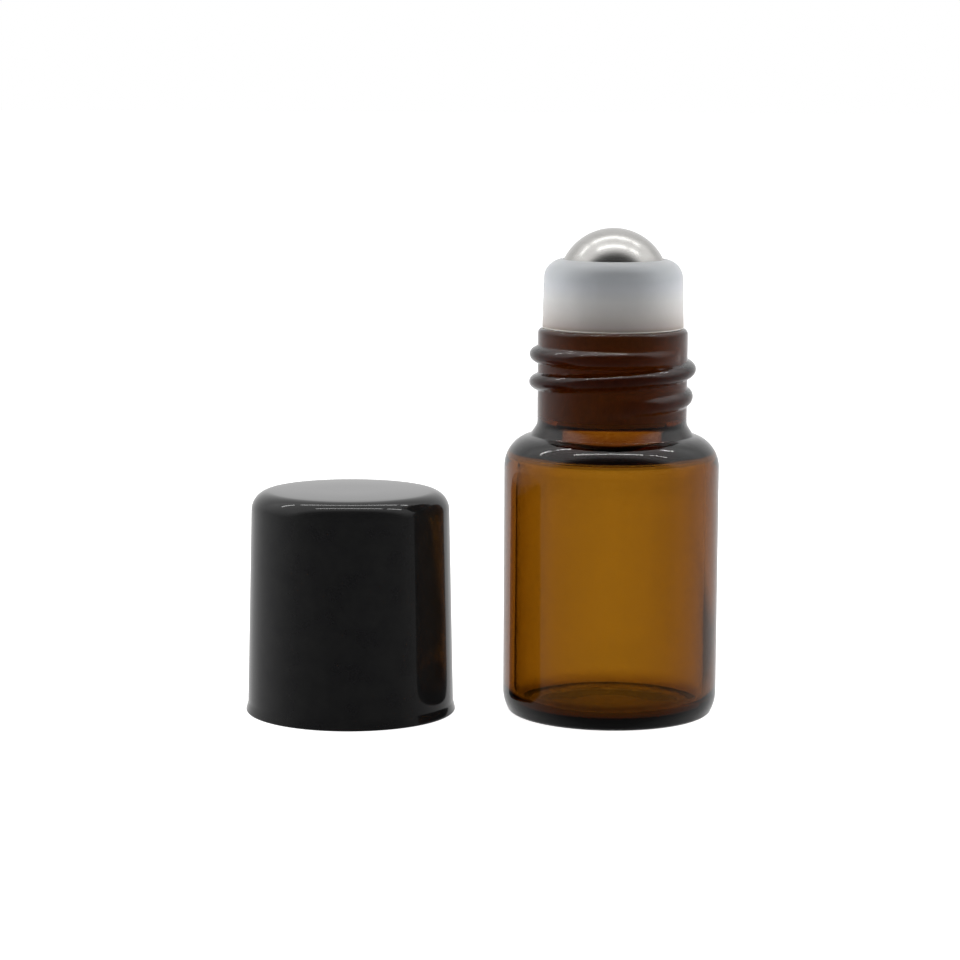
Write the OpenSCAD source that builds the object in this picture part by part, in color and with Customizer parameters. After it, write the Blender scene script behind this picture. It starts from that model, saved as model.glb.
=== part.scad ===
// Roll on bottle: an amber glass bottle, a moulded ball housing pressed into its neck, a steel ball
// and a screw cap. Millimetres, +Z up, with the origin at the centre of the bottle's base.
// The cap stands mouth down beside the bottle, taken off.

/* [Glass body] */
// Outer diameter of the glass body
body_d = 16.5; // [15.5:0.1:19]
// Height of the glass from its base to the lip of its neck
bottle_h = 29.75; // [27:0.05:40]
// Thickness of the glass in the body
body_wall = 1; // [0.8:0.05:1.2]
// Height of the chamber floor above the ground
base_wall = 0.85; // [0.8:0.05:1.4]
// Height over which the side draws in to the heel
heel_h = 1.1; // [0.8:0.05:1.4]
// How far the side draws in to the heel
heel_in = 0.45; // [0.3:0.05:0.7]
// Radius of the heel's lower edge
heel_r = 0.5; // [0.3:0.05:0.7]
// Width of the ring that the bottle stands on
stand_ring_w = 1.85; // [1.7:0.05:2.2]
// Height of the push-up under the base
push_up_h = 0.25; // [0.1:0.05:0.4]
// Radius of the bend from the body to the shoulder
shoulder_r = 2.5; // [1.8:0.05:2.6]
// Slope of the shoulder at the neck's foot in degrees from level
shoulder_slope = 13; // [8:1:20]
// Thickness of the glass between the shoulder and the chamber
shoulder_wall = 1.25; // [1:0.05:1.5]
// Slope of the chamber's ceiling in degrees from level
ceiling_slope = 2; // [1:1:10]

/* [Neck] */
// Diameter of the neck at the root of its thread
neck_d = 11.46; // [11.3:0.02:12]
// Height of the neck above the shoulder
neck_h = 8.05; // [8:0.05:9.7]
// Bore of the neck
bore_d = 8.6; // [8.4:0.05:9]
// How far the neck's foot flares out
neck_flare = 0.52; // [0.3:0.02:0.6]
// Height of the flared foot
neck_flare_h = 0.8; // [0.6:0.05:1]
// Radius of the bend from the flared foot to the neck
neck_bend_r = 0.8; // [0.5:0.05:1]
// Radius of the lip's outer edge
lip_r = 0.4; // [0.2:0.05:0.5]

/* [Thread] */
// Rise of the thread in one turn
thread_pitch = 2.117; // [1.9:0.001:2.15]
// Turns of the glass thread, tapered ends included
thread_turns = 2.22; // [2:0.01:2.25]
// Height of the glass thread above the neck
thread_h = 0.66; // [0.5:0.01:0.7]
// Width of the glass thread where it leaves the neck
thread_w = 1.4; // [1.2:0.05:1.5]
// Height of the thread's start above the top of the shoulder
thread_rise = 2.22; // [2.1:0.02:2.3]

/* [Ball housing] */
// How far the collar's foot lies inside the neck's outer surface
collar_step = 0.33; // [0.2:0.01:0.4]
// How much the collar narrows in radius from foot to top
collar_draft = 0.13; // [0.05:0.01:0.16]
// Radius of the collar's rounded top edge
collar_edge_r = 1.45; // [0.9:0.05:1.5]
// Length of the plug inside the neck
plug_len = 7.25; // [6.6:0.05:7.4]
// Thickness of the plug's skirt
plug_wall = 0.85; // [0.7:0.05:1]
// How far each sealing ring bites into the bore
seal_bite = 0.06; // [0.03:0.01:0.1]
// Radius of the feed hole under the ball
feed_r = 1.9; // [1.5:0.05:2.1]
// Number of feed slots round the feed hole
feed_slots = 6; // [3:1:8]

/* [Ball] */
// Diameter of the steel ball
ball_d = 8.43; // [8.2:0.01:8.5]
// How far the ball stands out of the collar
ball_rise = 2.37; // [2.1:0.01:2.5]
// How far the ball reaches down into the neck
ball_dip = 0.81; // [0.6:0.01:1]
// Running gap between the ball and its socket
ball_clear = 0.05; // [0.03:0.01:0.08]

/* [Cap] */
// Thickness of the cap's wall at its mouth
cap_wall = 1.34; // [1.2:0.02:1.7]
// Thickness of the cap's top
cap_top_wall = 1.35; // [0.9:0.05:1.6]
// How much the outside narrows in radius from the mouth to the top
cap_draft = 0.36; // [0.2:0.01:0.4]
// Radius of the cap's top edge
cap_edge_r = 1.5; // [0.8:0.05:1.6]
// How far the rim flares out round the mouth
cap_flare = 0.19; // [0.05:0.01:0.25]
// Side gap between the bottle and the cap that stands beside it
cap_side_gap = 3.66; // [3:0.02:12]
// How far back the cap stands from the bottle's axis
cap_set_back = -0.2; // [-3:0.1:3]

/* [Hidden] */
$fn = 96;

// Steps in each rounded corner, and rings in one turn of a thread
round_steps = 8;
rings_per_turn = 36;
// Overrun of every cut
over = 0.4;

// Glass
heel_bend_r = 3;
push_up_r = 2.6;
push_up_bend_r = 8;
stand_ring_bend_r = 1;
chamber_heel_r = 1.2;
ceiling_bend_r = 0.6;
bore_bend_r = 0.6;
lip_in_r = 0.3;
body_r = body_d / 2;
chamber_r = body_r - body_wall;
stand_in_r = body_r - heel_in - heel_r - stand_ring_w;
neck_r = neck_d / 2;
bore_r = bore_d / 2;
neck_z = bottle_h - neck_h;
shoulder_z = neck_z - (body_r - neck_r) * tan(shoulder_slope);
chamber_z = shoulder_z + body_wall * tan(shoulder_slope) - shoulder_wall / cos(shoulder_slope);
bore_z = chamber_z + (chamber_r - bore_r) * tan(ceiling_slope);
neck_foot_r = neck_r + neck_flare;
neck_foot_z = neck_z - neck_flare * tan(shoulder_slope);
neck_foot_bend_r = 0.2;

// Threads are sunk into the wall that carries them. The glass one starts at the front left, fades in
// over most of a turn, and runs level over its last stretch while it fades out.
thread_start_angle = -110;
thread_fades = [310, 200];
thread_level_angle = 150;
thread_sink = 0.3;
thread_end_depth = 0.1;
thread_sides = 8;
thread_start_z = neck_z + thread_rise;
thread_clear = 0.22;

// Ball and the housing's socket
ball_r = ball_d / 2;
ball_z = bottle_h - ball_dip + ball_r;
collar_top_z = ball_z + ball_r - ball_rise;
socket_r = ball_r + ball_clear;
socket_mouth_r = sqrt(socket_r * socket_r - (ball_r - ball_rise) * (ball_r - ball_rise));

// Housing
collar_foot_r = neck_r - collar_step;
collar_foot_edge_r = 0.12;
collar_top_r = collar_foot_r - collar_draft;
plug_clear = 0.04;
plug_r = bore_r - plug_clear;
plug_in_r = plug_r - plug_wall;
plug_z = bottle_h - plug_len;
plug_lead_in = 0.2;
plug_lead_depth = 0.4;
plug_corner_r = 0.3;
seat_wall = 0.6;
seat_z = ball_z - sqrt(socket_r * socket_r - feed_r * feed_r) - seat_wall;
seal_ring_r = 0.45;
seal_ring_shares = [0.3, 0.62];
feed_slot_w = 0.7;
feed_slot_reach_share = 0.9;

// Cap, in its own height from the rim. On the neck its rim stands just above the shoulder
// and its ceiling just above the ball.
cap_rim_gap = 0.2;
cap_ball_gap = 0.2;
cap_in_r = neck_r + thread_h + thread_clear;
cap_ceiling_draft = 0.2;
cap_ceiling_r = cap_in_r - cap_ceiling_draft;
cap_ceiling_bend_r = 0.5;
cap_mouth_r = cap_in_r + cap_wall;
cap_rim_r = cap_mouth_r + cap_flare;
cap_top_r = cap_mouth_r - cap_draft;
cap_flare_h = 0.75;
cap_flare_bend_r = 0.8;
cap_rim_edge_r = 0.15;
cap_lead_in = 0.25;
cap_seat_z = shoulder_z + (body_r - cap_in_r) * tan(shoulder_slope) + cap_rim_gap;
cap_ceiling_z = ball_z + ball_r + cap_ball_gap - cap_seat_z;
cap_h = cap_ceiling_z + cap_top_wall;
cap_x = -(body_r + cap_side_gap + cap_rim_r);

// Sealing ring under the cap's top, which meets the collar's rounded top edge outside the ball
seal_gap = 0.06;
seal_wall = 0.7;
seal_in_r = max(collar_top_r - collar_edge_r, socket_mouth_r) + seal_gap;
seal_edge_r = 0.2;
seal_z = collar_top_z + seal_gap - cap_seat_z;

// The cap's thread lies half a pitch under the glass one when the cap is on the neck
cap_thread_h = 0.56;
cap_thread_w = 1.1;
cap_thread_turns = 1.75;
cap_thread_fades = [40, 40];
cap_thread_z = 1.3;
cap_thread_lead = cap_seat_z + cap_thread_z + thread_pitch / 2 - thread_start_z;
cap_thread_angle = thread_start_angle + 360 * cap_thread_lead / thread_pitch;

glass_colour = [0.5, 0.27, 0.05, 0.6];
housing_colour = [0.82, 0.82, 0.8];
steel_colour = [0.72, 0.72, 0.72];
cap_colour = [0.08, 0.08, 0.08];

function unit(v) = v / norm(v);
function turned(v, angle) = [v[0] * cos(angle) - v[1] * sin(angle), v[0] * sin(angle) + v[1] * cos(angle)];

// Half of the angle between the two straight stretches that meet at a corner
function half_angle(before, corner, after) = acos(unit(before - corner) * unit(after - corner)) / 2;

// The round that joins two straight stretches at a corner and takes up that much of each
function rounded(before, corner, after, reach) =
    let (
        back = unit(before - corner),
        ahead = unit(after - corner),
        half = half_angle(before, corner, after),
        centre = corner + unit(back + ahead) * reach / cos(half),
        start = corner + back * reach - centre,
        end = corner + ahead * reach - centre,
        way = sign(start[0] * end[1] - start[1] * end[0])
    )
    [for (i = [0:round_steps]) centre + turned(start, way * (180 - 2 * half) * i / round_steps)];

// Closed outline from corners given as [radius from the axis, height, corner radius]. Where two rounds
// would need more than the stretch between them, both get smaller.
function outline(corners) =
    let (
        n = len(corners),
        at = [for (c = corners) [c[0], c[1]]],
        wanted = [for (i = [0:n - 1])
            corners[i][2] / tan(half_angle(at[(i + n - 1) % n], at[i], at[(i + 1) % n]))],
        room = [for (i = [0:n - 1])
            norm(at[(i + 1) % n] - at[i]) / max(wanted[i] + wanted[(i + 1) % n], norm(at[(i + 1) % n] - at[i]))]
    )
    [for (i = [0:n - 1]) each
        corners[i][2] == 0
            ? [at[i]]
            : rounded(
                at[(i + n - 1) % n], at[i], at[(i + 1) % n],
                wanted[i] * min(room[(i + n - 1) % n], room[i])
            )];

// How much of a thread's height stands at an angle along it, from the angles it fades in and out over
function faded(angle, whole, fades) = max(0, min(1, angle / fades[0], (whole - angle) / fades[1]));

// A thread: a rounded bead that winds up a wall of radius wall_r, outward when side is 1, inward when
// it is -1. It climbs until the angle called level is left.
module thread(wall_r, side, height, width, turns, first_angle, first_z, fades, level = 0) {
    whole = 360 * turns;
    rings = ceil(turns * rings_per_turn);
    arc = [for (i = [0:thread_sides]) 180 * i / thread_sides];
    points = [
        for (ring = [0:rings])
            let (
                along = whole * ring / rings,
                share = sqrt(sin(90 * faded(along, whole, fades))),
                proud = height * share - thread_end_depth * (1 - share),
                z = first_z + thread_pitch * min(along, whole - level) / 360
            )
            for (a = arc)
                let (r = wall_r + side * ((proud + thread_sink) * sin(a) - thread_sink))
                [r * cos(first_angle + along), r * sin(first_angle + along), z - width / 2 * cos(a)]
    ];
    n = thread_sides + 1;
    sides = [
        for (ring = [0:rings - 1], i = [0:n - 1])
            let (
                a = ring * n + i,
                b = ring * n + (i + 1) % n,
                c = b + n,
                d = a + n
            )
            each side == 1 ? [[a, b, c], [a, c, d]] : [[a, c, b], [a, d, c]]
    ];
    first = [for (i = [1:n - 2]) side == 1 ? [0, i + 1, i] : [0, i, i + 1]];
    last = [for (face = first) [for (k = [2:-1:0]) face[k] + rings * n]];
    polyhedron(points, concat(sides, first, last));
}

module glass_bottle() {
    color(glass_colour) {
        rotate_extrude() polygon(outline([
            [0, push_up_h, 0],
            [push_up_r, push_up_h, push_up_bend_r],
            [stand_in_r, 0, stand_ring_bend_r],
            [body_r - heel_in, 0, heel_r],
            [body_r, heel_h, heel_bend_r],
            [body_r, shoulder_z, shoulder_r],
            [neck_foot_r, neck_foot_z, neck_foot_bend_r],
            [neck_r, neck_foot_z + neck_flare_h, neck_bend_r],
            [neck_r, bottle_h, lip_r],
            [bore_r, bottle_h, lip_in_r],
            [bore_r, bore_z, bore_bend_r],
            [chamber_r, chamber_z, ceiling_bend_r],
            [chamber_r, base_wall, chamber_heel_r],
            [0, base_wall, 0],
        ]));
        thread(
            neck_r, 1, thread_h, thread_w, thread_turns,
            thread_start_angle, thread_start_z, thread_fades, thread_level_angle
        );
    }
}

// Collar, plug and ball seat before the socket is cut: one moulding
module housing_blank() {
    rotate_extrude() polygon(outline([
        [feed_r, collar_top_z, 0],
        [collar_top_r, collar_top_z, collar_edge_r],
        [collar_foot_r, bottle_h, collar_foot_edge_r],
        [plug_r, bottle_h, 0],
        [plug_r, plug_z + plug_lead_depth, 0],
        [plug_r - plug_lead_in, plug_z, 0],
        [plug_in_r, plug_z, 0],
        [plug_in_r, seat_z, plug_corner_r],
        [feed_r, seat_z, 0],
    ]));
    for (share = seal_ring_shares)
        translate([0, 0, bottle_h - plug_len * share])
            rotate_extrude() translate([bore_r + seal_bite - seal_ring_r, 0]) circle(seal_ring_r);
}

module ball_housing() {
    color(housing_colour) difference() {
        housing_blank();
        translate([0, 0, ball_z]) sphere(socket_r);
        for (i = [1:feed_slots])
            rotate([0, 0, 360 * i / feed_slots])
                translate([0, -feed_slot_w / 2, seat_z - over])
                    cube([plug_in_r * feed_slot_reach_share, feed_slot_w, ball_z - seat_z]);
    }
}

module roller_ball() {
    color(steel_colour) translate([0, 0, ball_z]) sphere(ball_r);
}

module screw_cap() {
    color(cap_colour) translate([cap_x, cap_set_back, 0]) {
        rotate_extrude() polygon(outline([
            [cap_in_r + cap_lead_in, 0, 0],
            [cap_rim_r, 0, cap_rim_edge_r],
            [cap_mouth_r, cap_flare_h, cap_flare_bend_r],
            [cap_top_r, cap_h, cap_edge_r],
            [0, cap_h, 0],
            [0, cap_ceiling_z, 0],
            [seal_in_r, cap_ceiling_z, seal_edge_r],
            [seal_in_r, seal_z, seal_edge_r],
            [seal_in_r + seal_wall, seal_z, seal_edge_r],
            [seal_in_r + seal_wall, cap_ceiling_z, seal_edge_r],
            [cap_ceiling_r, cap_ceiling_z, cap_ceiling_bend_r],
            [cap_in_r, cap_lead_in, 0],
        ]));
        thread(
            cap_in_r, -1, cap_thread_h, cap_thread_w, cap_thread_turns,
            cap_thread_angle, cap_thread_z, cap_thread_fades
        );
    }
}

glass_bottle();
ball_housing();
roller_ball();
screw_cap();
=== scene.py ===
import math

import bmesh
import bpy
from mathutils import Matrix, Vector


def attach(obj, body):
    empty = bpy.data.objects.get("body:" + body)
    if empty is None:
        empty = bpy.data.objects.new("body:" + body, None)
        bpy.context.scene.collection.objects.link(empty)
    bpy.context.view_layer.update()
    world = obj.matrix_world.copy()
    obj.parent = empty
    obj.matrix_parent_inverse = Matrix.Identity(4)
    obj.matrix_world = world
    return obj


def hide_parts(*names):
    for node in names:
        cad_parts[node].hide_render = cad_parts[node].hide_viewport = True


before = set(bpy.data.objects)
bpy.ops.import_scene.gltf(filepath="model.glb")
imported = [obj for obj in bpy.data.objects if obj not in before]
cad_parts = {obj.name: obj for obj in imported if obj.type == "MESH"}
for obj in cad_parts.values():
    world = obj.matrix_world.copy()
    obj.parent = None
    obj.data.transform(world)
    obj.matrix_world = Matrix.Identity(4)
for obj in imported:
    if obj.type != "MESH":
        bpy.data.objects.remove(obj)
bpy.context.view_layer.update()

MM = 0.001

# How fine the meshes are: steps in millimetres, and counts
SECTORS = 256
CORNER_STEPS = 12
WALL_STEP = 0.8
THREAD_STEP = 0.075
CAP_THREAD_STEP = 0.1
SEAT_STEP = 0.3
SEAT_ARC_STEPS = 6
SOCKET_STEPS = 40
SEAL_RING_STEPS = 10
SLOT_STEPS = 4
STEPS_BETWEEN_SLOTS = 35
BALL_CUTS = 39

# Edges sharper than these angles in degrees aren't smoothed over
SHARP_ANGLE = 50
HOUSING_SHARP_ANGLE = 40
# Height in millimetres above which the cap's wall has no thread and needs no short steps
CAP_THREAD_TOP = 6.0
# Radius in millimetres under which a point counts as on the axis
AXIS_R = 1e-6
# Distance in millimetres within which a point counts as on a threaded wall
NEAR_WALL = 0.1
# How far under the collar's foot its run of colours starts, in millimetres. Above the foot that run is
# painted light and shade
COLOUR_DROP = 1.0

# Sizes in millimetres. They are the part's, apart from the four that are said to be for looks alone

# Glass
BODY_R = 8.25
BODY_WALL = 1.0
FLOOR_Z = 0.85
HEEL_H = 1.1
HEEL_IN = 0.45
HEEL_BEND_R = 3.0
HEEL_R = 0.5
STAND_RING_W = 1.85
STAND_RING_BEND_R = 1.0
PUSH_UP_R = 2.6
PUSH_UP_H = 0.25
PUSH_UP_BEND_R = 8.0
CHAMBER_HEEL_R = 1.2
SHOULDER_R = 2.5
SHOULDER_SLOPE = math.radians(13)
SHOULDER_WALL = 1.25
CEILING_SLOPE = math.radians(2)
CEILING_BEND_R = 0.6
BOTTLE_H = 29.75
NECK_R = 5.73
NECK_H = 8.05
NECK_Z = BOTTLE_H - NECK_H
NECK_FLARE = 0.52
NECK_FLARE_H = 0.8
NECK_FOOT_BEND_R = 0.2
NECK_BEND_R = 0.8
BORE_R = 4.3
BORE_BEND_R = 0.6
LIP_R = 0.4
LIP_IN_R = 0.3
SHOULDER_Z = NECK_Z - (BODY_R - NECK_R) * math.tan(SHOULDER_SLOPE)

# Threads, with their angles in degrees
THREAD_PITCH = 2.117
THREAD_TURNS = 2.22
THREAD_H = 0.66
THREAD_W = 1.4
THREAD_RISE = 2.22
THREAD_START_Z = NECK_Z + THREAD_RISE
THREAD_START_ANGLE = -110
THREAD_FADES = (310, 200)
THREAD_LEVEL_ANGLE = 150
THREAD_CLEAR = 0.22
THREAD_SINK = 0.3
THREAD_END_DEPTH = 0.1
# For looks alone: the hollow between a thread and its wall
THREAD_FILLET = 0.12

# Ball and housing
BALL_R = 4.215
BALL_RISE = 2.37
BALL_DIP = 0.81
BALL_Z = BOTTLE_H - BALL_DIP + BALL_R
BALL_CLEAR = 0.05
SOCKET_R = BALL_R + BALL_CLEAR
COLLAR_TOP_Z = BALL_Z + BALL_R - BALL_RISE
SOCKET_MOUTH_R = math.sqrt(SOCKET_R**2 - (COLLAR_TOP_Z - BALL_Z)**2)
# For looks alone: the collar's foot stands this far over the lip, so that the two don't coincide
COLLAR_GAP = 0.015
COLLAR_FOOT_Z = BOTTLE_H + COLLAR_GAP
COLLAR_STEP = 0.33
COLLAR_DRAFT = 0.13
COLLAR_FOOT_R = NECK_R - COLLAR_STEP
COLLAR_FOOT_EDGE_R = 0.12
COLLAR_TOP_R = COLLAR_FOOT_R - COLLAR_DRAFT
COLLAR_EDGE_R = 1.45
PLUG_LEN = 7.25
PLUG_Z = BOTTLE_H - PLUG_LEN
# For looks alone: the plug lies this far in the glass, so that no film of air shows between them
PLUG_OVERLAP = 0.02
PLUG_R = BORE_R + PLUG_OVERLAP
PLUG_WALL = 0.85
PLUG_IN_R = PLUG_R - PLUG_WALL
PLUG_LEAD_IN = 0.2
PLUG_LEAD_DEPTH = 0.4
PLUG_CORNER_R = 0.3
SEAL_BITE = 0.06
SEAL_RING_R = 0.45
SEAL_RING_X = BORE_R + SEAL_BITE - SEAL_RING_R
SEAL_RING_SHARES = (0.3, 0.62)
FEED_R = 1.9
FEED_SLOTS = 6
FEED_SLOT_W = 0.7
FEED_SLOT_REACH_SHARE = 0.9
FEED_SLOT_R = PLUG_IN_R * FEED_SLOT_REACH_SHARE
SEAT_WALL = 0.6
SEAT_Z = BALL_Z - math.sqrt(SOCKET_R**2 - FEED_R**2) - SEAT_WALL

# Cap, in its own height from the rim. On the neck its rim stands just above the shoulder and its
# ceiling just above the ball
CAP_WALL = 1.34
CAP_TOP_WALL = 1.35
CAP_FLARE = 0.19
CAP_DRAFT = 0.36
CAP_IN_R = NECK_R + THREAD_H + THREAD_CLEAR
CAP_MOUTH_R = CAP_IN_R + CAP_WALL
CAP_RIM_R = CAP_MOUTH_R + CAP_FLARE
CAP_TOP_R = CAP_MOUTH_R - CAP_DRAFT
CAP_EDGE_R = 1.5
CAP_FLARE_H = 0.75
CAP_FLARE_BEND_R = 0.8
CAP_RIM_EDGE_R = 0.15
CAP_LEAD_IN = 0.25
CAP_CEILING_DRAFT = 0.2
CAP_CEILING_BEND_R = 0.5
CAP_GAP = 0.2
CAP_SEAT_Z = SHOULDER_Z + (BODY_R - CAP_IN_R) * math.tan(SHOULDER_SLOPE) + CAP_GAP
CAP_CEILING_Z = BALL_Z + BALL_R + CAP_GAP - CAP_SEAT_Z
CAP_H = CAP_CEILING_Z + CAP_TOP_WALL
# For looks alone: how much higher the top is in its middle, and the bend where it starts to fall
CAP_CROWN = 0.08
CAP_CROWN_BEND_R = 150
CAP_THREAD_TURNS = 1.75
CAP_THREAD_H = 0.56
CAP_THREAD_W = 1.1
CAP_THREAD_Z = 1.3
CAP_THREAD_FADES = (40, 40)
SEAL_GAP = 0.06
SEAL_WALL = 0.7
SEAL_IN_R = max(COLLAR_TOP_R - COLLAR_EDGE_R, SOCKET_MOUTH_R) + SEAL_GAP
SEAL_Z = COLLAR_TOP_Z + SEAL_GAP - CAP_SEAT_Z
SEAL_EDGE_R = 0.2
CAP_SIDE_GAP = 3.66
CAP_SET_BACK = -0.2
CAP_AT = (-(BODY_R + CAP_SIDE_GAP + CAP_RIM_R), CAP_SET_BACK)

# Camera, lamps and floor: places and lengths in metres, the lens in millimetres and angles in degrees
CAMERA_AT = (-0.0101, -0.22579, 0.04945)
CAMERA_DOWN = 7.938
CAMERA_ROLL = 0.257
LENS_MM = 111.14
SOFT_LAMP_SIZE = 0.2
# Soft lamps: each one's place, and its power in watts
SOFT_LAMPS = (
    ((-0.35, 0.12, 0.08), 1.7),
    ((0.35, 0.12, 0.08), 1.7),
    ((0, -0.4, 0.1), 0.17),
)
FLOOR_HALF = 3
FLOOR_DROP = 0.02 * MM
STRIP_HEIGHT = 0.45
# Rows of strips overhead, in shares of their height over the ball: how far back each row lies, and
# where its strips begin and end
STRIP_ROWS = (
    (0.455, ((-1.2, -0.68), (-0.56, 0.4), (0.46, 0.72))),
    (-0.05, ((-0.5, 0.38), (0.47, 0.85))),
)


# Outlines and meshes


def half_angle(before, corner, after):
    """Half of the angle between the two straight stretches that meet at a corner."""
    return (before - corner).angle(after - corner) / 2


def rounded(before, corner, after, reach):
    """The round that joins two straight stretches at a corner and takes up that much of each."""
    back = (before - corner).normalized()
    ahead = (after - corner).normalized()
    half = half_angle(before, corner, after)
    centre = corner + (back + ahead).normalized() * reach / math.cos(half)
    start = corner + back * reach - centre
    end = corner + ahead * reach - centre
    way = math.copysign(math.pi - 2 * half, start.x * end.y - start.y * end.x)
    points = []
    for i in range(CORNER_STEPS + 1):
        cosine = math.cos(way * i / CORNER_STEPS)
        sine = math.sin(way * i / CORNER_STEPS)
        turned_start = (start.x * cosine - start.y * sine, start.x * sine + start.y * cosine)
        points.append(centre + Vector(turned_start))
    return points


def outline(corners):
    """Points (radius, height) along a line of corners given as (radius, height, corner radius).
    Where two rounds would need more than the stretch between them, both get smaller."""
    at = [Vector(c[:2]) for c in corners]
    middle = range(1, len(corners) - 1)
    wanted = [0] + [corners[i][2] / math.tan(half_angle(*at[i - 1:i + 2])) for i in middle] + [0]
    room = []
    for i in range(len(corners) - 1):
        length = (at[i + 1] - at[i]).length
        room.append(length / max(length, wanted[i] + wanted[i + 1]))
    points = [at[0]]
    for i in middle:
        reach = wanted[i] * min(room[i - 1], room[i])
        points += rounded(*at[i - 1:i + 2], reach) if reach else [at[i]]
    return points + [at[-1]]


def divided(line, step):
    """The same line with points added so that no stretch is longer than step."""
    points = []
    for a, b in zip(line, line[1:]):
        pieces = max(1, math.ceil((b - a).length / step))
        points += [a.lerp(b, i / pieces) for i in range(pieces)]
    return points + [line[-1]]


def finer_on_wall(line, wall_r, top, step):
    """The line with short steps on the wall of about that radius, which carries a thread, up to top."""
    points = [line[0]]
    for a, b in zip(line, line[1:]):
        threaded = all(abs(end.x - wall_r) < NEAR_WALL and end.y <= top for end in (a, b))
        points += divided([a, b], step)[1:] if threaded else [b]
    return points


def arc(centre, radius, first, last, steps):
    """Points on a circle between two angles in degrees, counted from straight out."""
    points = []
    for i in range(steps + 1):
        angle = math.radians(first + (last - first) * i / steps)
        point = (centre[0] + radius * math.cos(angle), centre[1] + radius * math.sin(angle))
        points.append(Vector(point))
    return points


def as_piece(name, build, sharp_angle):
    """An object from a bmesh, shaded smooth except across edges sharper than that angle in degrees."""
    bmesh.ops.recalc_face_normals(build, faces=build.faces)
    mesh = bpy.data.meshes.new(name)
    build.to_mesh(mesh)
    build.free()
    mesh.polygons.foreach_set("use_smooth", [True] * len(mesh.polygons))
    mesh.set_sharp_from_angle(angle=math.radians(sharp_angle))
    piece = bpy.data.objects.new(name, mesh)
    bpy.context.scene.collection.objects.link(piece)
    return piece


def turned(name, line, rise, at=(0, 0)):
    """A mesh turned round an upright axis from a line of (radius, height) that starts and ends on it.
    rise(angle, radius, height) says how far the surface stands off the line there."""
    build = bmesh.new()
    rings = []
    for point in line:
        ring = []
        for i in range(SECTORS if point.x > AXIS_R else 1):
            angle = math.tau * i / SECTORS
            radius = point.x + rise(angle, point.x, point.y)
            x = at[0] + radius * math.cos(angle)
            y = at[1] + radius * math.sin(angle)
            ring.append(build.verts.new((x * MM, y * MM, point.y * MM)))
        rings.append(ring)
    # On the axis a ring is a single point, and the faces there have three corners
    for a, b in zip(rings, rings[1:]):
        for i in range(SECTORS):
            j = (i + 1) % SECTORS
            corners = [a[i % len(a)], a[j % len(a)], b[j % len(b)], b[i % len(b)]]
            build.faces.new(list(dict.fromkeys(corners)))
    return as_piece(name, build, SHARP_ANGLE)


def filleted(out):
    """A distance out of the wall, with a small hollow instead of a corner where it starts to grow."""
    return (out + math.hypot(out, THREAD_FILLET)) / 2


class Thread:
    """A rounded bead that winds up a wall, outward when side is 1 and inward when it is -1. It tapers
    at both ends and climbs until the angle called level is left. Its angles are in degrees."""

    def __init__(self, wall_r, side, height, width, turns, first_angle, first_z, fades, level=0):
        self.wall_r = wall_r
        self.side = side
        self.height = height
        self.width = width
        self.whole = math.tau * turns
        self.climb = self.whole - math.radians(level)
        self.first_angle = math.radians(first_angle)
        self.first_z = first_z
        self.fade_in = math.radians(fades[0])
        self.fade_out = math.radians(fades[1])

    def rise(self, angle, radius, height):
        """How far the bead stands out of the wall at an angle and height."""
        if abs(radius - self.wall_r) > NEAR_WALL:
            return 0
        past_wall = self.side * (radius - self.wall_r)
        most = 0
        # The bead passes this angle once a turn, and what stands out most there counts
        along = (angle - self.first_angle) % math.tau
        while along < self.whole:
            centre_z = self.first_z + THREAD_PITCH * min(along, self.climb) / math.tau
            offset = 2 * (height - centre_z) / self.width
            if abs(offset) < 1:
                fade = min(1, along / self.fade_in, (self.whole - along) / self.fade_out)
                share = math.sqrt(math.sin(math.pi / 2 * fade))
                peak = share * (self.height + THREAD_END_DEPTH) - THREAD_END_DEPTH + THREAD_SINK
                out = peak * math.sqrt(1 - offset * offset) - THREAD_SINK - past_wall
                most = max(most, filleted(out) - filleted(-THREAD_SINK))
            along += math.tau
        return self.side * most


def make_glass():
    neck_foot_z = NECK_Z - NECK_FLARE * math.tan(SHOULDER_SLOPE)
    chamber_r = BODY_R - BODY_WALL
    under_shoulder = SHOULDER_WALL / math.cos(SHOULDER_SLOPE)
    chamber_z = SHOULDER_Z + BODY_WALL * math.tan(SHOULDER_SLOPE) - under_shoulder
    bore_z = chamber_z + (chamber_r - BORE_R) * math.tan(CEILING_SLOPE)
    line = outline([
        (0, PUSH_UP_H, 0),
        (PUSH_UP_R, PUSH_UP_H, PUSH_UP_BEND_R),
        (BODY_R - HEEL_IN - HEEL_R - STAND_RING_W, 0, STAND_RING_BEND_R),
        (BODY_R - HEEL_IN, 0, HEEL_R),
        (BODY_R, HEEL_H, HEEL_BEND_R),
        (BODY_R, SHOULDER_Z, SHOULDER_R),
        (NECK_R + NECK_FLARE, neck_foot_z, NECK_FOOT_BEND_R),
        (NECK_R, neck_foot_z + NECK_FLARE_H, NECK_BEND_R),
        (NECK_R, BOTTLE_H, LIP_R),
        (BORE_R, BOTTLE_H, LIP_IN_R),
        (BORE_R, bore_z, BORE_BEND_R),
        (chamber_r, chamber_z, CEILING_BEND_R),
        (chamber_r, FLOOR_Z, CHAMBER_HEEL_R),
        (0, FLOOR_Z, 0),
    ])
    line = divided(finer_on_wall(line, NECK_R, BOTTLE_H, THREAD_STEP), WALL_STEP)
    thread = Thread(
        NECK_R, 1, THREAD_H, THREAD_W, THREAD_TURNS,
        THREAD_START_ANGLE, THREAD_START_Z, THREAD_FADES, THREAD_LEVEL_ANGLE)
    return turned("amber_bottle", line, thread.rise)


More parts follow.
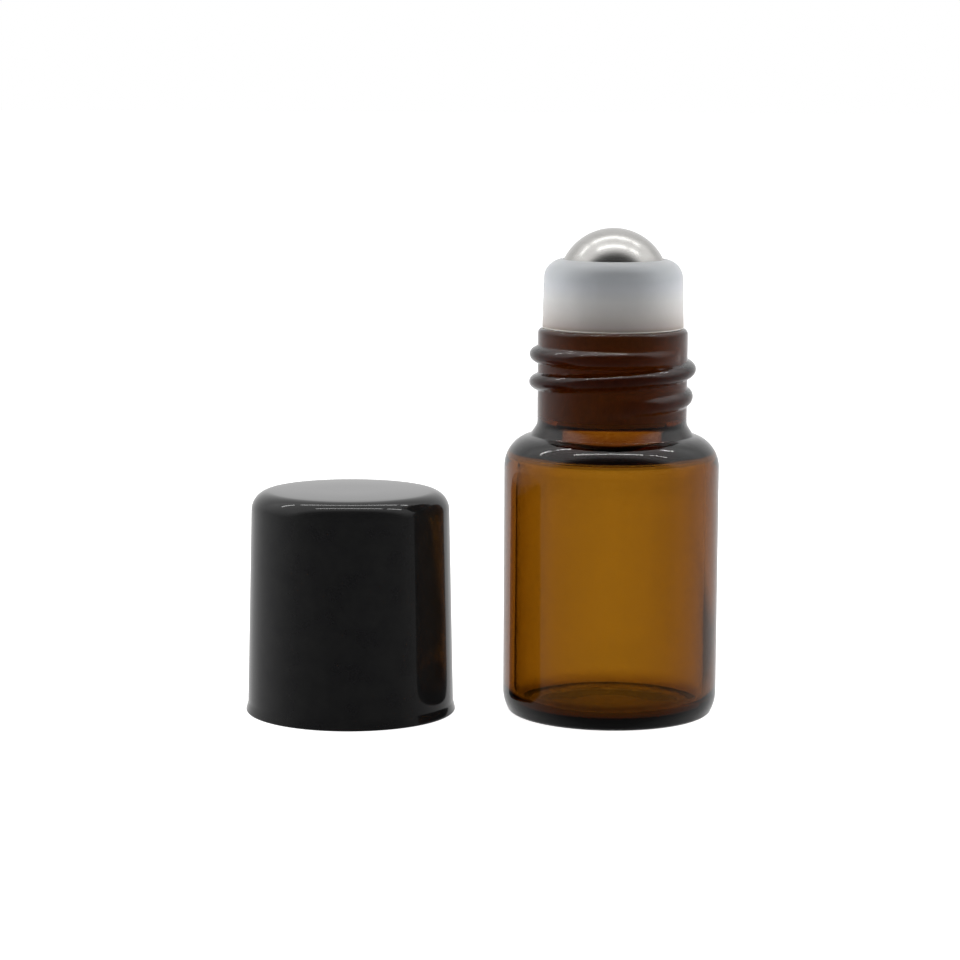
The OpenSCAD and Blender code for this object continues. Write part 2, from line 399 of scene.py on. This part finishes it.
def make_cap():
    ceiling_r = CAP_IN_R - CAP_CEILING_DRAFT
    thread_top_r = CAP_IN_R - CAP_CEILING_DRAFT * CAP_THREAD_TOP / CAP_CEILING_Z
    line = outline([
        (0, CAP_H, 0),
        (CAP_TOP_R / 2, CAP_H, CAP_CROWN_BEND_R),
        (CAP_TOP_R, CAP_H - CAP_CROWN, CAP_EDGE_R),
        (CAP_MOUTH_R, CAP_FLARE_H, CAP_FLARE_BEND_R),
        (CAP_RIM_R, 0, CAP_RIM_EDGE_R),
        (CAP_IN_R + CAP_LEAD_IN, 0, 0),
        (CAP_IN_R, CAP_LEAD_IN, 0),
        (thread_top_r, CAP_THREAD_TOP, 0),
        (ceiling_r, CAP_CEILING_Z, CAP_CEILING_BEND_R),
        (SEAL_IN_R + SEAL_WALL, CAP_CEILING_Z, SEAL_EDGE_R),
        (SEAL_IN_R + SEAL_WALL, SEAL_Z, SEAL_EDGE_R),
        (SEAL_IN_R, SEAL_Z, SEAL_EDGE_R),
        (SEAL_IN_R, CAP_CEILING_Z, SEAL_EDGE_R),
        (0, CAP_CEILING_Z, 0),
    ])
    line = divided(finer_on_wall(line, CAP_IN_R, CAP_THREAD_TOP, CAP_THREAD_STEP), WALL_STEP)
    # The thread lies half a pitch under the glass one when the cap is on the neck
    lead = CAP_SEAT_Z + CAP_THREAD_Z + THREAD_PITCH / 2 - THREAD_START_Z
    first_angle = THREAD_START_ANGLE + 360 * lead / THREAD_PITCH
    thread = Thread(
        CAP_IN_R, -1, CAP_THREAD_H, CAP_THREAD_W, CAP_THREAD_TURNS,
        first_angle, CAP_THREAD_Z, CAP_THREAD_FADES)
    return turned("screw_cap_shell", line, thread.rise, CAP_AT)


def seal_ring(share):
    """The part of a round sealing ring that stands out of the plug, from its upper to its lower end."""
    half = math.degrees(math.acos((PLUG_R - SEAL_RING_X) / SEAL_RING_R))
    centre = (SEAL_RING_X, BOTTLE_H - PLUG_LEN * share)
    return arc(centre, SEAL_RING_R, half, -half, SEAL_RING_STEPS)


def slot_line(points):
    """The stretch across the seat as it runs inside a feed slot: straight up the slot's outer end."""
    return [points[0].lerp(points[-1], i / (len(points) - 1)) for i in range(len(points))]


def make_housing():
    """The moulding as a grid of columns. In a feed slot the column leaves out the seat."""
    seat_angle = -math.degrees(math.acos(FEED_R / SOCKET_R))
    slot_angle = -math.degrees(math.acos(FEED_SLOT_R / SOCKET_R))
    mouth_angle = math.degrees(math.acos(SOCKET_MOUTH_R / SOCKET_R))
    socket = (0, BALL_Z)
    outside = outline([
        (SOCKET_MOUTH_R, COLLAR_TOP_Z, 0),
        (COLLAR_TOP_R, COLLAR_TOP_Z, COLLAR_EDGE_R),
        (COLLAR_FOOT_R, COLLAR_FOOT_Z, COLLAR_FOOT_EDGE_R),
        (PLUG_R, COLLAR_FOOT_Z, 0),
    ])
    for share in SEAL_RING_SHARES:
        outside += seal_ring(share)
    outside += outline([
        (PLUG_R, PLUG_Z + PLUG_LEAD_DEPTH, 0),
        (PLUG_R - PLUG_LEAD_IN, PLUG_Z, 0),
        (PLUG_IN_R, PLUG_Z, 0),
        (PLUG_IN_R, SEAT_Z, PLUG_CORNER_R),
        (FEED_SLOT_R, SEAT_Z, 0),
    ])
    outside = divided(outside, WALL_STEP)[:-1]
    across_seat = divided([Vector((FEED_SLOT_R, SEAT_Z)), Vector((FEED_R, SEAT_Z))], SEAT_STEP)
    across_seat += arc(socket, SOCKET_R, seat_angle, slot_angle, SEAT_ARC_STEPS)
    inside = arc(socket, SOCKET_R, slot_angle, mouth_angle, SOCKET_STEPS)[1:-1]
    solid = outside + across_seat + inside
    slotted = outside + slot_line(across_seat) + inside

    # Each column has its line, the middle of its slot, where it stands in the slot from -1 to 1, and
    # how far on to the next slot from 0 to 1
    columns = []
    for slot in range(FEED_SLOTS):
        middle = math.tau * slot / FEED_SLOTS
        for i in range(SLOT_STEPS + 1):
            columns.append((slotted, middle, 2 * i / SLOT_STEPS - 1, 0))
        for i in range(STEPS_BETWEEN_SLOTS + 1):
            columns.append((solid, middle, 1, i / STEPS_BETWEEN_SLOTS))

    build = bmesh.new()
    rings = []
    for line, middle, side, onward in columns:
        ring = []
        for point in line:
            half = math.asin(FEED_SLOT_W / 2 / point.x)
            angle = middle + side * half + onward * (math.tau / FEED_SLOTS - 2 * half)
            place = (point.x * math.cos(angle) * MM, point.x * math.sin(angle) * MM, point.y * MM)
            ring.append(build.verts.new(place))
        rings.append(ring)
    for a, b in zip(rings, rings[1:] + rings[:1]):
        for i in range(len(a)):
            j = (i + 1) % len(a)
            build.faces.new((a[i], a[j], b[j], b[i]))
    # At a slot's sides two columns meet, and only their faces across the seat are kept: the slot's walls
    bmesh.ops.remove_doubles(build, verts=build.verts, dist=0.0001 * MM)
    return as_piece("ball_collar", build, HOUSING_SHARP_ANGLE)


def make_ball():
    """A sphere of even quads: a divided cube drawn out to the ball's radius."""
    build = bmesh.new()
    bmesh.ops.create_cube(build, size=2)
    bmesh.ops.subdivide_edges(build, edges=build.edges, cuts=BALL_CUTS, use_grid_fill=True)
    for vertex in build.verts:
        even = Vector([math.tan(c * math.pi / 4) for c in vertex.co])
        vertex.co = (even.normalized() * BALL_R + Vector((0, 0, BALL_Z))) * MM
    return as_piece("steel_ball", build, SHARP_ANGLE)


# Nodes


def new_material(name):
    """A material with its node tree and its shader."""
    made = bpy.data.materials.new(name)
    made.use_nodes = True
    return made, made.node_tree, made.node_tree.nodes["Principled BSDF"]


def noise(tree, scale, detail=2.0, stretch=(1, 1, 1)):
    """Noise in the piece's own space, with scale in waves to the metre."""
    place = tree.nodes.new("ShaderNodeTexCoord")
    mapping = tree.nodes.new("ShaderNodeMapping")
    mapping.inputs["Scale"].default_value = stretch
    texture = tree.nodes.new("ShaderNodeTexNoise")
    texture.inputs["Scale"].default_value = scale
    texture.inputs["Detail"].default_value = detail
    tree.links.new(place.outputs["Object"], mapping.inputs["Vector"])
    tree.links.new(mapping.outputs["Vector"], texture.inputs["Vector"])
    return texture.outputs["Fac"]


def ramp(tree, value, stops):
    """Colours (position, colour) along a value."""
    node = tree.nodes.new("ShaderNodeValToRGB")
    for i, (position, colour) in enumerate(stops):
        stop = node.color_ramp.elements[i] if i < 2 else node.color_ramp.elements.new(position)
        stop.position = position
        stop.color = (*colour, 1)
    tree.links.new(value, node.inputs["Fac"])
    return node.outputs["Color"]


def grey_ramp(tree, value, stops):
    """Greys (position, grey) along a value."""
    return ramp(tree, value, [(position, (grey, grey, grey)) for position, grey in stops])


def between(tree, value, low, high, first=0, last=1):
    """A value that runs from first to last, spread from low to high."""
    node = tree.nodes.new("ShaderNodeMapRange")
    node.inputs["From Min"].default_value = first
    node.inputs["From Max"].default_value = last
    node.inputs["To Min"].default_value = low
    node.inputs["To Max"].default_value = high
    tree.links.new(value, node.inputs["Value"])
    return node.outputs["Result"]


def combined(tree, operation, first, second):
    """Two values multiplied, or the larger of them, as the operation says."""
    node = tree.nodes.new("ShaderNodeMath")
    node.operation = operation
    tree.links.new(first, node.inputs[0])
    tree.links.new(second, node.inputs[1])
    return node.outputs["Value"]


def parts_of(tree, place):
    """The three parts of a place or direction: X, Y and Z."""
    node = tree.nodes.new("ShaderNodeSeparateXYZ")
    tree.links.new(place, node.inputs["Vector"])
    return node.outputs


def mixed(tree, share, first, second=None):
    """Two colours mixed by a share. Where no second one is given, it is white."""
    node = tree.nodes.new("ShaderNodeMixRGB")
    tree.links.new(share, node.inputs["Fac"])
    tree.links.new(first, node.inputs["Color1"])
    if second:
        tree.links.new(second, node.inputs["Color2"])
    else:
        node.inputs["Color2"].default_value = (1, 1, 1, 1)
    return node.outputs["Color"]


def multiplied(tree, first, second):
    """Two colours multiplied."""
    node = tree.nodes.new("ShaderNodeMixRGB")
    node.blend_type = "MULTIPLY"
    node.inputs["Fac"].default_value = 1
    tree.links.new(first, node.inputs["Color1"])
    tree.links.new(second, node.inputs["Color2"])
    return node.outputs["Color"]


def bump(tree, shader, height, distance, strength=1.0):
    """Small unevenness of the surface, with its depth in millimetres."""
    node = tree.nodes.new("ShaderNodeBump")
    node.inputs["Strength"].default_value = strength
    node.inputs["Distance"].default_value = distance * MM
    tree.links.new(height, node.inputs["Height"])
    tree.links.new(node.outputs["Normal"], shader.inputs["Normal"])


# Materials


def amber_glass():
    """Clear glass that takes its colour from its depth, with slight waves."""
    made, tree, shader = new_material("amber_glass")
    shader.inputs["Base Color"].default_value = (1, 1, 1, 1)
    shader.inputs["Roughness"].default_value = 0.0
    shader.inputs["IOR"].default_value = 1.51
    shader.inputs["Transmission Weight"].default_value = 1.0
    bump(tree, shader, noise(tree, scale=260, detail=1), distance=0.02, strength=0.6)
    volume = tree.nodes.new("ShaderNodeVolumeAbsorption")
    volume.inputs["Color"].default_value = (0.745, 0.59, 0.04, 1)
    volume.inputs["Density"].default_value = 3000
    tree.links.new(volume.outputs["Volume"], tree.nodes["Material Output"].inputs["Volume"])
    return made


def milky_plastic():
    """Natural plastic, pale on the plug, with painted shade, warm light and bluish shade up the collar.
    """
    made, tree, shader = new_material("milky_plastic")
    cloud = noise(tree, scale=500, detail=3)
    place = tree.nodes.new("ShaderNodeTexCoord").outputs["Object"]
    lowest = (COLLAR_FOOT_Z - COLOUR_DROP) * MM
    up = between(tree, parts_of(tree, place)["Z"], 0, 1, first=lowest, last=COLLAR_TOP_Z * MM)
    # Below the foot the plug's own pale colour. Up the collar painted light and shade: painted shade at
    # the foot, warm painted light from the amber glass, bluish painted shade round the ball
    along = ramp(tree, up, [
        (0.168, (0.96, 0.93, 0.89)),
        (0.178, (0.24, 0.205, 0.18)),
        (0.23, (0.33, 0.3, 0.285)),
        (0.39, (0.42, 0.405, 0.395)),
        (0.53, (0.46, 0.46, 0.455)),
        (0.68, (0.43, 0.44, 0.46)),
        (0.79, (0.39, 0.405, 0.425)),
        (0.92, (0.38, 0.395, 0.41)),
        (1.0, (0.43, 0.44, 0.45)),
    ])
    cloudy = grey_ramp(tree, cloud, [(0.3, 0.94), (0.7, 1)])
    tree.links.new(multiplied(tree, along, cloudy), shader.inputs["Base Color"])
    shader.inputs["Subsurface Weight"].default_value = 1.0
    shader.inputs["Subsurface Radius"].default_value = (1.0, 0.95, 0.9)
    shader.inputs["Subsurface Scale"].default_value = 0.0004
    shader.inputs["IOR"].default_value = 1.49
    tree.links.new(between(tree, cloud, 0.28, 0.42), shader.inputs["Roughness"])
    bump(tree, shader, noise(tree, scale=2600), distance=0.004)
    return made


def polished_steel():
    """Steel with a soft shine and a faint grain."""
    made, tree, shader = new_material("polished_steel")
    grain = noise(tree, scale=900, detail=3, stretch=(1, 1, 3))
    colour = ramp(tree, grain, [(0.3, (0.56, 0.55, 0.53)), (0.7, (0.61, 0.60, 0.58))])
    tree.links.new(colour, shader.inputs["Base Color"])
    shader.inputs["Metallic"].default_value = 1.0
    tree.links.new(between(tree, grain, 0.18, 0.24), shader.inputs["Roughness"])
    bump(tree, shader, noise(tree, scale=3000), distance=0.001)
    return made


def black_plastic():
    """Glossy black plastic with faint clouds."""
    made, tree, shader = new_material("black_plastic")
    cloud = noise(tree, scale=700, detail=3)
    colour = ramp(tree, cloud, [(0.3, (0.009, 0.009, 0.0095)), (0.7, (0.012, 0.012, 0.012))])
    tree.links.new(colour, shader.inputs["Base Color"])
    shader.inputs["IOR"].default_value = 1.4
    tree.links.new(between(tree, cloud, 0.03, 0.055), shader.inputs["Roughness"])
    bump(tree, shader, noise(tree, scale=350, detail=1), distance=0.0025)
    return made


def dress(piece, made, node, body):
    """Gives a piece its material and its body, and hides the CAD node that it stands for."""
    piece.data.materials.clear()
    piece.data.materials.append(made)
    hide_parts(node)
    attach(piece, body)
    return piece


bottle = dress(make_glass(), amber_glass(), "glass_bottle", "bottle")
housing = dress(make_housing(), milky_plastic(), "ball_housing", "bottle")
ball = dress(make_ball(), polished_steel(), "roller_ball", "ball")
cap = dress(make_cap(), black_plastic(), "screw_cap", "cap")


# Floor, light and camera


def make_floor():
    """White paper to the camera. To other rays it glows, with a painted shadow right under the bottle
    and painted shade far away, and to mirrored ones also painted shade at the front right, as the glass
    and the cap in the photo show it."""
    build = bmesh.new()
    bmesh.ops.create_grid(build, x_segments=1, y_segments=1, size=FLOOR_HALF)
    mesh = bpy.data.meshes.new("floor")
    build.to_mesh(mesh)
    build.free()
    floor = bpy.data.objects.new("floor", mesh)
    # A hair under the ground, so that it doesn't coincide with what stands there
    floor.location.z = -FLOOR_DROP
    floor.visible_glossy = False
    bpy.context.scene.collection.objects.link(floor)
    made, tree, shader = new_material("floor_paper")
    shader.inputs["Roughness"].default_value = 0.9
    shader.inputs["Specular IOR Level"].default_value = 0.0
    shader.inputs["Emission Color"].default_value = (1, 1, 1, 1)
    rays = tree.nodes.new("ShaderNodeLightPath").outputs
    place = tree.nodes.new("ShaderNodeTexCoord").outputs["Object"]
    length = tree.nodes.new("ShaderNodeVectorMath")
    length.operation = "LENGTH"
    tree.links.new(place, length.inputs[0])
    distance = length.outputs["Value"]
    # Painted shadow: the paper's glow fades right under the bottle
    painted_contact_shadow = between(tree, distance, 0, 0.8, first=4.5 * MM, last=12 * MM)
    # Painted shade far away
    far = between(tree, distance, 0.68, 0.4, first=110 * MM, last=180 * MM)
    # Painted shade at the front right, which mirrored rays alone see
    left = between(tree, parts_of(tree, place)["X"], 1, 0.2, first=8 * MM, last=20 * MM)
    behind = between(tree, parts_of(tree, place)["Y"], 0, 1, first=25 * MM, last=45 * MM)
    direct = between(tree, rays["Glossy Depth"], 1, 0)
    lit = combined(tree, "MAXIMUM", combined(tree, "MAXIMUM", left, behind), direct)
    # The painted shade darkens both the paper's colour and its glow
    shade = combined(tree, "MULTIPLY", far, lit)
    glow = combined(tree, "MULTIPLY", painted_contact_shadow, shade)
    glow = combined(tree, "MAXIMUM", glow, rays["Is Camera Ray"])
    tree.links.new(shade, shader.inputs["Base Color"])
    tree.links.new(glow, shader.inputs["Emission Strength"])
    mesh.materials.append(made)


def make_strip(y, first_x, last_x, width, radiance, lit):
    """A narrow lamp overhead along the width, which lights some pieces only. Its place and width are
    shares of its height over the ball."""
    lamp = bpy.data.lights.new("strip", "AREA")
    lamp.shape = "RECTANGLE"
    lamp.size = (last_x - first_x) * STRIP_HEIGHT
    lamp.size_y = width * STRIP_HEIGHT
    lamp.energy = radiance * math.pi * lamp.size * lamp.size_y
    strip = bpy.data.objects.new("strip", lamp)
    x = (first_x + last_x) / 2 * STRIP_HEIGHT
    strip.location = (x, y * STRIP_HEIGHT, BALL_Z * MM + STRIP_HEIGHT)
    strip.visible_camera = False
    strip.light_linking.receiver_collection = lit
    bpy.context.scene.collection.objects.link(strip)


def make_strips(pieces, width, radiance):
    """The rows of strips as lamps that light these pieces only."""
    lit = bpy.data.collections.new("lit")
    for piece in pieces:
        lit.objects.link(piece)
    for y, strips in STRIP_ROWS:
        for first_x, last_x in strips:
            make_strip(y, first_x, last_x, width, radiance, lit)


def make_soft_lamp(place, energy):
    """A soft square lamp that is aimed at the origin and lights the dull surfaces only."""
    lamp = bpy.data.lights.new("soft", "AREA")
    lamp.size = SOFT_LAMP_SIZE
    lamp.energy = energy
    soft = bpy.data.objects.new("soft", lamp)
    soft.location = place
    soft.rotation_euler = soft.location.to_track_quat("Z", "Y").to_euler()
    soft.visible_camera = False
    soft.visible_glossy = False
    soft.visible_transmission = False
    bpy.context.scene.collection.objects.link(soft)


def make_surroundings():
    """A white tent that is open towards the front. Its light depends on the direction, and is stronger
    where it reaches the dull plug through the glass."""
    world = bpy.data.worlds.new("tent")
    bpy.context.scene.world = world
    world.use_nodes = True
    tree = world.node_tree
    parts = parts_of(tree, tree.nodes.new("ShaderNodeTexCoord").outputs["Generated"])
    frontward = between(tree, parts["Y"], 0, 1, first=1, last=-1)
    low = grey_ramp(tree, frontward, [
        (0.0, 0.88), (0.06, 0.8), (0.12, 0.7), (0.2, 0.6), (0.28, 0.5), (0.37, 0.45), (0.52, 0.31),
        (0.75, 0.12), (1.0, 0.05),
    ])
    high = grey_ramp(tree, frontward, [
        (0.0, 0.8), (0.2, 0.75), (0.27, 1.1), (0.56, 1.0), (0.60, 0.95), (0.67, 0.35), (0.71, 0.1),
        (0.8, 0.04),
    ])
    tent = mixed(tree, between(tree, parts["Z"], 0, 1, first=0.15, last=0.6), low, high)
    rays = tree.nodes.new("ShaderNodeLightPath").outputs
    background = tree.nodes["Background"].inputs
    tree.links.new(mixed(tree, rays["Is Camera Ray"], tent), background["Color"])
    inside = combined(tree, "MULTIPLY", rays["Diffuse Depth"], rays["Is Transmission Ray"])
    tree.links.new(between(tree, inside, 1, 5.5), background["Strength"])


def make_camera():
    """The photo's camera, which looks along Y, turned down and rolled a little."""
    lens = bpy.data.cameras.new("camera")
    lens.sensor_width = 36
    lens.lens = LENS_MM
    lens.clip_start = 0.01
    lens.clip_end = 20
    camera = bpy.data.objects.new("camera", lens)
    camera.location = CAMERA_AT
    camera.rotation_mode = "ZYX"
    camera.rotation_euler = (math.radians(90 - CAMERA_DOWN), 0, math.radians(CAMERA_ROLL))
    bpy.context.scene.collection.objects.link(camera)
    bpy.context.scene.camera = camera


make_floor()
make_strips([ball], width=0.09, radiance=2.3)
make_strips([bottle, housing, cap], width=0.045, radiance=12)
for place, energy in SOFT_LAMPS:
    make_soft_lamp(place, energy)
make_surroundings()
make_camera()
bpy.context.scene.view_settings.view_transform = "Standard"
